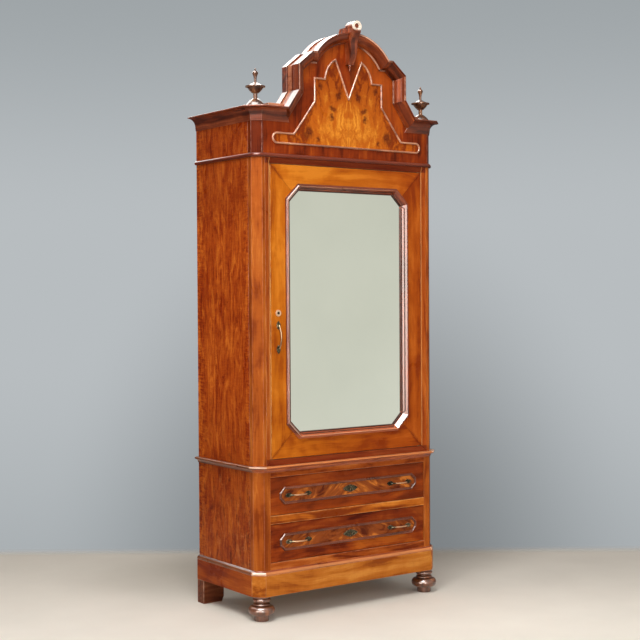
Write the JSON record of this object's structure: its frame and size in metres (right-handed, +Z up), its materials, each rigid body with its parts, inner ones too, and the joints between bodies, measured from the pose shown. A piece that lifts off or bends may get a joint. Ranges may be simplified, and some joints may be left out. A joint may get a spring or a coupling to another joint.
{
  "type": "wardrobe",
  "caption": "Tall wooden wardrobe with canted front corners, a mirrored door over deep drawers, turned front feet, and an arched, stepped crest with urn finials.",
  "frame": {"origin": "on the floor, under the middle of the part's box", "axes": "+Z up, +Y towards the back, +X to the viewer's right when facing the door"},
  "size_m": [1.09, 0.563, 2.6255],
  "materials": {
    "case_walnut": "french polished walnut, mid brown with a reddish cast",
    "moulding_walnut": "polished dark walnut mouldings and turnings",
    "door_walnut": "crossbanded walnut veneer, orange brown, polished",
    "drawer_walnut": "dark red brown walnut veneer, polished",
    "crest_walnut": "dark red brown walnut, polished",
    "burl_veneer": "golden burl veneer with dark knots, polished",
    "lining_wood": "plain softwood, waxed",
    "rail_wood": "turned beech, waxed",
    "sawn_foot": "sawn softwood stained nearly black",
    "mirror": "silvered glass",
    "brass": "aged grey green brass",
    "lock_steel": "dull filed steel"
  },
  "bodies": {
    "case": {"lower_posts": "case_walnut", "lower_sides": "case_walnut", "drawer_rails": "case_walnut", "upper_posts": "case_walnut", "upper_sides": "case_walnut", "door_surround": "case_walnut", "cupboard_floor": "case_walnut", "top_board": "case_walnut", "frieze_corners": "case_walnut", "frieze_boards": "case_walnut", "plinth_front": "case_walnut", "plinth_sides": "case_walnut", "plinth_corners": "case_walnut", "front_feet": "moulding_walnut", "plinth_moulding": "moulding_walnut", "waist_moulding": "moulding_walnut", "frieze_bead": "moulding_walnut", "cornice_moulding": "moulding_walnut", "crest_moulding": "moulding_walnut", "panel_bead": "moulding_walnut", "corbel": "moulding_walnut", "finials": "moulding_walnut", "pediment_board": "crest_walnut", "crest_core": "crest_walnut", "crest_rear_band": "crest_walnut", "burl_panel": "burl_veneer", "plinth_back_rail": "lining_wood", "lower_back": "lining_wood", "bottom_board": "lining_wood", "drawer_runners": "lining_wood", "upper_back_boards": "lining_wood", "door_stops": "lining_wood", "hat_shelf": "lining_wood", "shelf_battens": "lining_wood", "rail_sockets": "lining_wood", "roof_board": "lining_wood", "hanging_rail": "rail_wood", "rear_feet": "sawn_foot", "case_pivot_plates": "brass"},
    "door": {"door_stiles": "door_walnut", "door_rails": "door_walnut", "mirror_glass": "mirror", "mirror_cover_board": "lining_wood", "mirror_moulding": "moulding_walnut", "door_furniture": "brass", "door_lock_case": "lock_steel", "door_pivot_plates": "brass"},
    "door_bolt": {"door_lock_bolt": "lock_steel"},
    "lower_drawer": {"lower_drawer_front": "drawer_walnut", "lower_drawer_box": "lining_wood", "lower_drawer_bottom": "lining_wood", "lower_drawer_frame": "moulding_walnut", "lower_drawer_fittings": "brass"},
    "lower_bolt": {"lower_drawer_bolt": "lock_steel"},
    "upper_drawer": {"upper_drawer_front": "drawer_walnut", "upper_drawer_box": "lining_wood", "upper_drawer_bottom": "lining_wood", "upper_drawer_frame": "moulding_walnut", "upper_drawer_fittings": "brass"},
    "upper_bolt": {"upper_drawer_bolt": "lock_steel"}
  },
  "joints": [
    {"name": "door_hinge", "type": "hinge", "parent": "case", "child": "door", "pos_m": [0.41, -0.2015, 0.6995], "axis": [0, 0, 1], "range_deg": [0, 105]},
    {"name": "door_bolt_slide", "type": "slide", "parent": "door", "child": "door_bolt", "axis": [-1, 0, 0], "range_m": [0, 0.009]},
    {"name": "lower_drawer_slide", "type": "slide", "parent": "case", "child": "lower_drawer", "axis": [0, -1, 0], "range_m": [0, 0.34]},
    {"name": "lower_bolt_slide", "type": "slide", "parent": "lower_drawer", "child": "lower_bolt", "axis": [0, 0, 1], "range_m": [0, 0.008]},
    {"name": "upper_drawer_slide", "type": "slide", "parent": "case", "child": "upper_drawer", "axis": [0, -1, 0], "range_m": [0, 0.34]},
    {"name": "upper_bolt_slide", "type": "slide", "parent": "upper_drawer", "child": "upper_bolt", "axis": [0, 0, 1], "range_m": [0, 0.008]}
  ]
}
